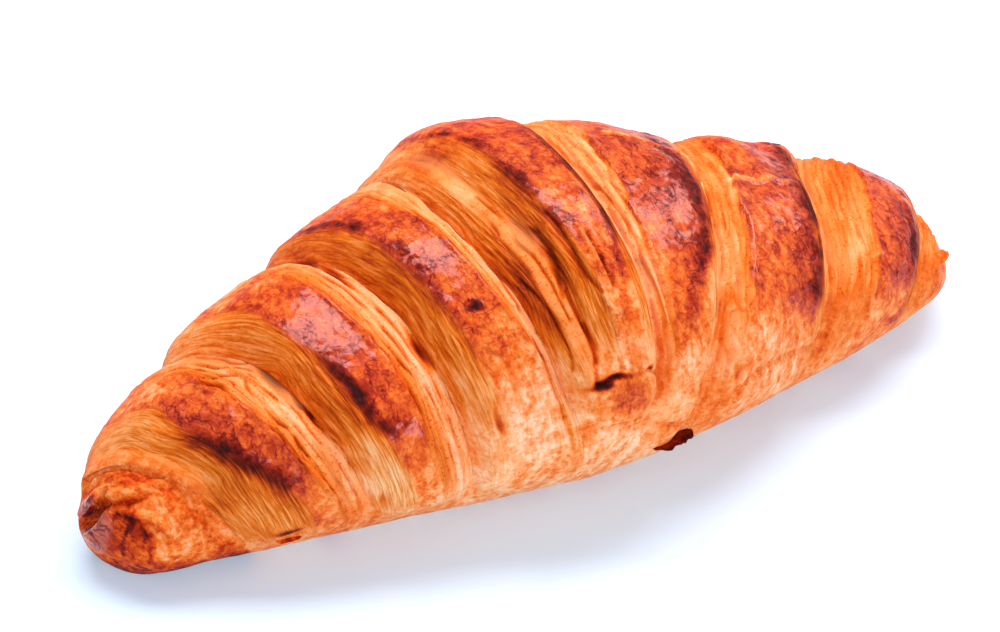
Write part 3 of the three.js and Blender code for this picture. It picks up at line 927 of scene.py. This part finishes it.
def build_mesh(name, points, normals, layers, first, last):
    """One stretch of a grid, from one column to another; the grid's own ends are closed."""
    part = points[first:last + 1]
    index = np.arange(part.shape[0] * part.shape[1]).reshape(part.shape[:2])
    if first == 0:
        index[0, :] = index[0, 0]
    if last == len(points) - 1:
        index[-1, :] = index[-1, 0]
    after = np.roll(index, -1, axis=1)
    quads = np.stack([index[:-1], index[1:], after[1:], after[:-1]], axis=-1).reshape(-1, 4)
    keep = quads != np.roll(quads, -1, axis=1)
    used, corner = np.unique(quads[keep], return_inverse=True)

    def at_vertices(values):
        return values[first:last + 1].reshape(index.size, -1)[used]

    mesh = bpy.data.meshes.new(name)
    mesh.vertices.add(len(used))
    fill(mesh.vertices, "co", at_vertices(points))
    mesh.loops.add(len(corner))
    fill(mesh.loops, "vertex_index", corner, np.int32)
    mesh.polygons.add(len(quads))
    starts = np.concatenate([[0], np.cumsum(keep.sum(axis=1))[:-1]])
    fill(mesh.polygons, "loop_start", starts, np.int32)
    mesh.update(calc_edges=True)
    bake = mesh.uv_layers.new(name="OFBake")
    fill(bake.data, "uv", bake_places(part)[keep])
    for layer, values in layers.items():
        kind, key = ("FLOAT", "value") if values.ndim == 2 else ("FLOAT_VECTOR", "vector")
        attribute = mesh.attributes.new(layer, kind, "POINT")
        fill(attribute.data, key, at_vertices(values))
    fill(mesh.polygons, "use_smooth", np.ones(len(quads)), bool)
    mesh.validate()
    mesh.normals_split_custom_set_from_vertices(at_vertices(normals).astype(np.float32))
    return add_object(name, mesh)


def srgb(*levels):
    """A colour as seen on screen, 0 to 255, as linear light."""
    shares = [level / 255 for level in levels]
    linear = [x / 12.92 if x <= 0.04045 else ((x + 0.055) / 1.055) ** 2.4 for x in shares]
    return (*linear, 1.0)


class Shader:
    """Short names for putting a material's nodes together."""

    def __init__(self, name):
        self.material = bpy.data.materials.new(name)
        self.material.use_nodes = True
        self.tree = self.material.node_tree

    def put(self, socket, value):
        """Link another node's output to the socket, or set it to a constant."""
        if isinstance(value, bpy.types.NodeSocket):
            self.tree.links.new(value, socket)
        else:
            socket.default_value = value

    def surface(self, **values):
        """Set or link the surface's own inputs, with _ for each space in their names."""
        inputs = self.tree.nodes["Principled BSDF"].inputs
        for name, value in values.items():
            self.put(inputs[name.replace("_", " ")], value)

    def node(self, kind, inputs, **settings):
        """The outputs of a new node."""
        node = self.tree.nodes.new("ShaderNode" + kind)
        for name, value in settings.items():
            setattr(node, name, value)
        for name, value in inputs.items():
            self.put(node.inputs[name], value)
        return node.outputs

    def attribute(self, name, output="Fac"):
        return self.node("Attribute", {}, attribute_name=name)[output]

    def math(self, operation, a, b=0.0, clamp=False):
        return self.node("Math", {0: a, 1: b}, operation=operation, use_clamp=clamp)[0]

    def add(self, *values):
        return functools.reduce(lambda a, b: self.math("ADD", a, b), values)

    def times(self, *values):
        return functools.reduce(lambda a, b: self.math("MULTIPLY", a, b), values)

    def less(self, a, b, clamp=False):
        return self.math("SUBTRACT", a, b, clamp)

    def grow(self, value, start, rate):
        """0 up to the start, then rising at the rate as far as 1."""
        return self.math("MULTIPLY", self.less(value, start), rate, clamp=True)

    def around(self, value, width):
        """1 where the value is a half, falling to 0 at the width either side."""
        off = self.math("ABSOLUTE", self.less(value, 0.5))
        return self.less(1.0, self.math("DIVIDE", off, width), clamp=True)

    def swing(self, value, size):
        """The value's departure from a half, times the size."""
        return self.times(self.less(value, 0.5), size)

    def noise(self, place, scale, detail=2.0, rough=0.5, warp=0.0):
        """Noise from 0 to 1, with its own scale along each axis."""
        at = self.node("VectorMath", {0: place, 1: scale}, operation="MULTIPLY")[0]
        inputs = {"Vector": at, "Scale": 1.0, "Detail": detail, "Roughness": rough, "Distortion": warp}
        return self.node("TexNoise", inputs)["Fac"]

    def ramp(self, value, stops):
        """The value's colour on the way through the stops."""
        node = self.tree.nodes.new("ShaderNodeValToRGB")
        elements = node.color_ramp.elements
        while len(elements) < len(stops):
            elements.new(0.5)
        for element, (place, colour) in zip(elements, stops):
            element.position = place
            element.color = srgb(*colour)
        self.put(node.inputs["Fac"], value)
        return node.outputs["Color"]

    def mix(self, share, a, b):
        return self.node("Mix", {0: share, 6: a, 7: b}, data_type="RGBA")[2]


# Colours on screen, from cream to black, of the skin and of the layers.
SKIN_COLOURS = [
    (0.00, (255, 210, 166)),
    (0.14, (253, 174, 112)),
    (0.3, (246, 128, 46)),
    (0.45, (224, 88, 12)),
    (0.6, (186, 49, 4)),
    (0.76, (130, 21, 2)),
    (0.9, (84, 10, 1)),
    (1.00, (46, 5, 2)),
]
LAYER_COLOURS = [
    (0.00, (255, 206, 150)),
    (0.2, (244, 155, 80)),
    (0.36, (227, 116, 20)),
    (0.52, (194, 76, 4)),
    (0.68, (142, 42, 1)),
    (0.84, (88, 20, 1)),
    (1.00, (40, 7, 2)),
]
# Colour of the film in the grooves, greyer and darker than the bare layers: partly painted shade of the
# grooves.
GROOVE_FILM_AND_SHADE_COLOUR = (236, 168, 104)
# How toasted the skin is where its glaze has burnt dull, the roughness of the bare crust
# and of the glaze, and the depth of the finest relief in metres.
BURNT_FROM = 0.60
DULL_ROUGHNESS = 0.62
GLAZE_ROUGHNESS = 0.17
BUMP_DEPTH = 0.00045


def crust_textures(s):
    """The crust's fine textures, each from 0 to 1."""
    t = SimpleNamespace()
    place = s.node("TexCoord", {})["Object"]
    layers = s.attribute("layers", "Vector")
    ribbons = s.attribute("ribbons", "Vector")
    t.grain = s.noise(place, (1500, 1500, 1500), 2.0, 0.6)
    t.mottle = s.noise(s.attribute("streaks", "Vector"), (0.52, 0.19, 1.0), 5.0, 0.64, 0.5)
    # Cut layers: fine threads with dark gaps between them.
    t.thread = s.noise(layers, (2.7, 0.15, 5.0), 3.0, 0.62, 0.35)
    t.gap = s.around(s.noise(layers, (1.15, 0.11, 5.0), 2.0, 0.5, 0.5), 0.045)
    # Bare layers: broad soft ribbons with a thin line at some edges, and freckles.
    t.ribbon = s.noise(ribbons, (0.85, 0.06, 5.0), 3.0, 0.55)
    t.rim = s.around(s.noise(ribbons, (0.55, 0.05, 5.0), 2.0, 0.5), 0.035)
    t.dots = s.grow(s.noise(place, (2000, 2000, 2000), 1.0), 0.585, 7.0)
    # Skin: wrinkles, thin dark veins between blisters, and scales where it is dull.
    t.wrinkle = s.noise(place, (980, 800, 980), 3.0, 0.6, 0.8)
    t.vein = s.around(s.noise(place, (330, 260, 330), 2.0, 0.6, 0.4), 0.05)
    t.flaky = s.noise(place, (800, 700, 1000), 3.0, 0.65)
    return t


def textured_toast(s, t, share, gloss, dull):
    """How toasted each spot is: the mesh's own value and what the fine textures add."""
    on_cut = s.add(s.swing(t.thread, 0.95), s.times(t.gap, 0.07))
    on_bare = s.add(s.swing(t.ribbon, 0.5), s.times(t.rim, 0.08), s.times(t.dots, 0.18))
    on_skin = s.add(
        s.times(t.vein, gloss, 0.22),
        s.swing(t.wrinkle, 0.42),
        s.times(s.swing(t.flaky, 0.55), dull),
        s.swing(s.grow(t.mottle, 0.44, 8.0), 0.07),
        s.times(s.swing(t.mottle, 1.0), s.add(s.times(dull, 0.26), 0.26)),
    )
    toast = s.add(s.attribute("toast"), s.swing(t.grain, 0.10))
    toast = s.add(toast, s.times(on_cut, share.cut), s.times(on_bare, share.bare))
    return s.math("ADD", toast, s.times(on_skin, share.skin), clamp=True)


def textured_height(s, t, share, gloss, dull):
    """Relief too fine for the mesh, in units of the bump's depth."""
    threads = s.times(s.less(t.thread, s.times(t.gap, 0.5)), share.cut, 0.6)
    ribbons = s.times(s.less(t.ribbon, s.times(t.rim, 0.25)), share.bare, 0.9)
    blisters = s.less(s.times(t.wrinkle, 1.3), s.times(t.vein, 0.2))
    creased = s.times(s.attribute("wrinkled"), s.add(s.times(gloss, 3.2), s.times(share.skin, 0.2)))
    scales = s.times(t.flaky, dull, share.skin, 1.1)
    return s.add(threads, ribbons, s.times(blisters, creased), scales, s.times(t.grain, 0.12))


def crust_material():
    """Browned skin, cut layers and bare pale layers, mixed by the mesh's own masks."""
    s = Shader("crust")
    t = crust_textures(s)
    share = SimpleNamespace(cut=s.attribute("cut"), bare=s.attribute("bare"))
    share.skin = s.less(s.less(1.0, share.cut), share.bare, clamp=True)
    gloss = s.attribute("gloss")
    dull = s.less(1.0, gloss, clamp=True)
    toast = textured_toast(s, t, share, gloss, dull)
    on_edge = s.math("MAXIMUM", share.cut, s.times(share.bare, 0.6))
    colour = s.mix(on_edge, s.ramp(toast, SKIN_COLOURS), s.ramp(toast, LAYER_COLOURS))
    # Film in the grooves, partly painted groove shade.
    colour = s.mix(s.attribute("membrane"), colour, srgb(*GROOVE_FILM_AND_SHADE_COLOUR))
    burnt_share = s.grow(toast, BURNT_FROM, 5.0)
    gloss = s.times(gloss, s.less(1.0, s.times(burnt_share, 0.85)))
    rough = s.add(s.less(DULL_ROUGHNESS, s.times(gloss, 0.26)), s.swing(t.grain, 0.2))
    s.surface(Base_Color=colour, Roughness=rough, Specular_IOR_Level=0.1)
    s.surface(Coat_Weight=gloss, Coat_Roughness=GLAZE_ROUGHNESS)
    height = textured_height(s, t, share, gloss, dull)
    bump_inputs = {"Strength": 0.8, "Distance": BUMP_DEPTH, "Height": height}
    s.surface(Normal=s.node("Bump", bump_inputs)["Normal"])
    return s.material


def crust_gloss(m, toast, angle):
    """How thick the egg wash shines: on browned tops, less where burnt and behind."""
    gloss = 0.62 * m.skin * (0.2 + 0.8 * ease((toast - 0.27) / 0.22)) * (0.35 + 0.65 * m.up)
    gloss = gloss * (1 - 0.5 * ease((toast - 0.62) / 0.2)) * (1 - 0.85 * ease((angle - 84) / 26))
    return gloss * (1 - m.hollow) + 0.5 * m.lips


def crust_layers(x, angle, smooth, w, m, toast):
    """Every value and place that the material reads from the mesh."""
    around = np.linalg.norm(np.diff(smooth, axis=1, prepend=smooth[:, :1]), axis=-1)
    around = np.cumsum(around, axis=1)
    ribbon_place = (w.past_inner + 0.6 * (m.along - w.run)) * np.where(w.near, 1.0, 0.6)
    return {
        "toast": toast,
        "cut": np.clip(m.cut, 0, 1),
        "bare": np.clip(m.bare, 0, 1),
        "membrane": m.membrane * 0.5,
        "gloss": np.clip(crust_gloss(m, toast, angle), 0, 1),
        "wrinkled": by_wrap(w, NEAR_WRINKLES, FAR_WRINKLES),
        "layers": np.stack([m.along, around, w.lane], axis=-1),
        "streaks": np.stack([x, around, np.zeros_like(x)], axis=-1),
        "ribbons": np.stack([ribbon_place, around, w.lane + 3], axis=-1),
    }


def box_fitter(points):
    """A function that fits places in mm into the frame's own box, as it fits these."""
    low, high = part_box("croissant")
    least = points.reshape(-1, 3).min(axis=0)
    scale = (np.array(high) - np.array(low)) / (points.reshape(-1, 3).max(axis=0) - least)
    return lambda places: (places - least) * scale + np.array(low)


def build_croissant():
    """The crust in four stretches along the roll, and its loose flakes."""
    x, angle, breaks = grid_places()
    w = wrap_places(x, angle)
    fall = drop(w, x, angle)
    smooth = crust_points(x, angle, fall)
    m = crust_marks(smooth, w, x, angle)
    base = crust_points(x, angle, fall + m.slit_depth)
    relief, blister = fine_relief(base, m)
    line_relief, line_painted_light_and_tone = line_marks(smooth)
    relief = relief + line_relief
    relief = relief * ease((HALF - np.abs(x)) / TIP_FADE) * ease(base[..., 2] / BASE_FADE)
    points = base + grid_normals(base) * relief[..., None]
    # The lines add painted shade in the creases and painted highlight on the fold crests.
    toast = crust_colour(base, w, m, blister) + line_painted_light_and_tone + tone_change(x, angle)
    layers = crust_layers(x, angle, smooth, w, m, np.clip(toast, 0, 1))
    fitted = box_fitter(points)
    points = fitted(points)
    normals = grid_normals(points)
    normals[0] = (-1, 0, 0)
    normals[-1] = (1, 0, 0)
    cuts = [0, breaks[1], breaks[3], breaks[-3], len(points) - 1]
    names = ["crust_near_end", "crust_near_wraps", "crust_middle", "crust_far_wraps"]
    pieces = [
        build_mesh(name, points, normals, layers, first, last)
        for name, first, last in zip(names, cuts[:-1], cuts[1:])
    ]
    return pieces + [build_flake(*flake, fitted) for flake in FLAKES]


def build_flake(name, place, out, side, size, tone, fitted):
    """A loose flake of crust: a thin leaf with its root inside the crust."""
    root = on_crust([place, place])[0]
    out = np.array(out) / np.linalg.norm(out)
    side = np.array(side) - out * (np.array(side) @ out)
    side = side / np.linalg.norm(side)
    face = np.cross(out, side)
    long, wide, thick = size
    u = np.linspace(-FLAKE_ROOT, 1, FLAKE_COLUMNS)[:, None]
    ahead = np.clip(u, 0, 1)
    turn = np.linspace(2 * math.pi, 0, FLAKE_ROWS, endpoint=False)[None, :]
    across = np.cos(turn) * (1 - ahead**3) * wide / 2
    flat = across * 0
    ragged = 1 + 0.45 * rough_noise(across / 1.1, flat, flat, 300, 2)
    reach = long * u * np.where(u > 0, ragged, 1.0)
    half = np.sin(turn) * thick / 2 * (1 - 0.6 * ahead) * ease((1 - u) / 0.1)
    curl = 0.25 * long * ahead**2 + 0.25 * rough_noise(across / 1.5, reach / 1.5, flat, 305, 2)
    points = root + reach[..., None] * out + across[..., None] * side
    points = fitted(points + (half + curl)[..., None] * face)
    speck = rough_noise(across / 1.2, reach / 1.2, half * 2, 310, 2)
    layers = {"toast": np.clip(tone + 0.3 * speck, 0, 1)}
    return build_mesh(name, points, grid_normals(points), layers, 0, len(u) - 1)


# The floor's half-width in metres, its colour, and the light it gives off.
FLOOR_HALF = 3.0
FLOOR_COLOUR = (0.60, 0.76, 0.90, 1)
FLOOR_GLOW = (0.60, 0.84, 1.0, 1)
FLOOR_GLOW_STRENGTH = 0.37


def build_floor():
    """A plain pale floor, a little lit from within as a bright studio table is."""
    mesh = bpy.data.meshes.new("floor")
    half = FLOOR_HALF
    corners = [(-half, -half, 0), (half, -half, 0), (half, half, 0), (-half, half, 0)]
    mesh.from_pydata(corners, [], [(0, 1, 2, 3)])
    s = Shader("floor")
    s.surface(Base_Color=FLOOR_COLOUR, Roughness=0.6, Specular_IOR_Level=0.2)
    s.surface(Emission_Color=FLOOR_GLOW, Emission_Strength=FLOOR_GLOW_STRENGTH)
    mesh.materials.append(s.material)
    floor = add_object("floor", mesh)


# The lamps: place and size in metres, watts and colour.
LAMPS = {
    "overhead": ((0.17, 0.27, 0.95), (1.0, 0.46), 11.4, (1.0, 0.90, 0.92)),
    "right": ((1.0, 0.30, 0.9), (0.46, 0.36), 3.4, (1.0, 0.86, 0.86)),
    "front": ((0.27, -1.1, 0.36), (0.4, 0.25), 3.2, (1.0, 0.84, 0.95)),
    "front_left": ((-0.4, -1.3, 0.33), (0.3, 0.22), 1.6, (1.0, 0.80, 0.98)),
    "left": ((-1.0, -0.6, 0.6), (0.8, 0.8), 2.4, (1.0, 0.93, 0.88)),
}
LAMP_AIM = Vector((0, 0, 0.03))
ROOM_COLOUR = (0.95, 0.9, 0.95, 1)
ROOM_STRENGTH = 0.40


def look(thing, place, aim):
    """Put a lamp or camera at a place, turned towards its aim."""
    thing.location = place
    thing.rotation_euler = (aim - place).to_track_quat("-Z", "Y").to_euler()


def add_lights():
    """The lamps, and the soft light of the room."""
    for name, (place, size, watts, colour) in LAMPS.items():
        data = bpy.data.lights.new(name, "AREA")
        data.shape = "RECTANGLE"
        data.size, data.size_y = size
        data.energy = watts
        data.color = colour
        look(add_object(name, data), Vector(place), LAMP_AIM)
    world = bpy.data.worlds.new("studio")
    world.use_nodes = True
    background = world.node_tree.nodes["Background"].inputs
    background["Color"].default_value = ROOM_COLOUR
    background["Strength"].default_value = ROOM_STRENGTH
    bpy.context.scene.world = world


# The camera, as fitted to the outline in the photo.
CAMERA_YAW = math.radians(-31.18)
CAMERA_RISE = math.radians(33.0)
CAMERA_AWAY = 0.600
CAMERA_TARGET = Vector((0, -0.0006, 0.0262))
CAMERA_LENS = 120.9
AIM_RIGHT = -0.00629
AIM_UP = -0.00361
SENSOR_WIDTH = 36


def add_camera():
    """The photo's own camera."""
    flat = math.cos(CAMERA_RISE)
    right = Vector((math.cos(CAMERA_YAW), math.sin(CAMERA_YAW), 0))
    back = Vector((right.y * flat, -right.x * flat, math.sin(CAMERA_RISE)))
    aim = CAMERA_TARGET + AIM_RIGHT * right + AIM_UP * back.cross(right)
    data = bpy.data.cameras.new("camera")
    data.lens = CAMERA_LENS
    data.sensor_width = SENSOR_WIDTH
    data.clip_start = 0.01
    camera = add_object("camera", data)
    look(camera, CAMERA_TARGET + CAMERA_AWAY * back, aim)
    bpy.context.scene.camera = camera


bpy.context.scene.view_settings.view_transform = "Standard"
crust = crust_material()
for piece in build_croissant():
    piece.data.materials.append(crust)
    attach(piece, "root")
    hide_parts("croissant")
build_floor()
add_lights()
add_camera()
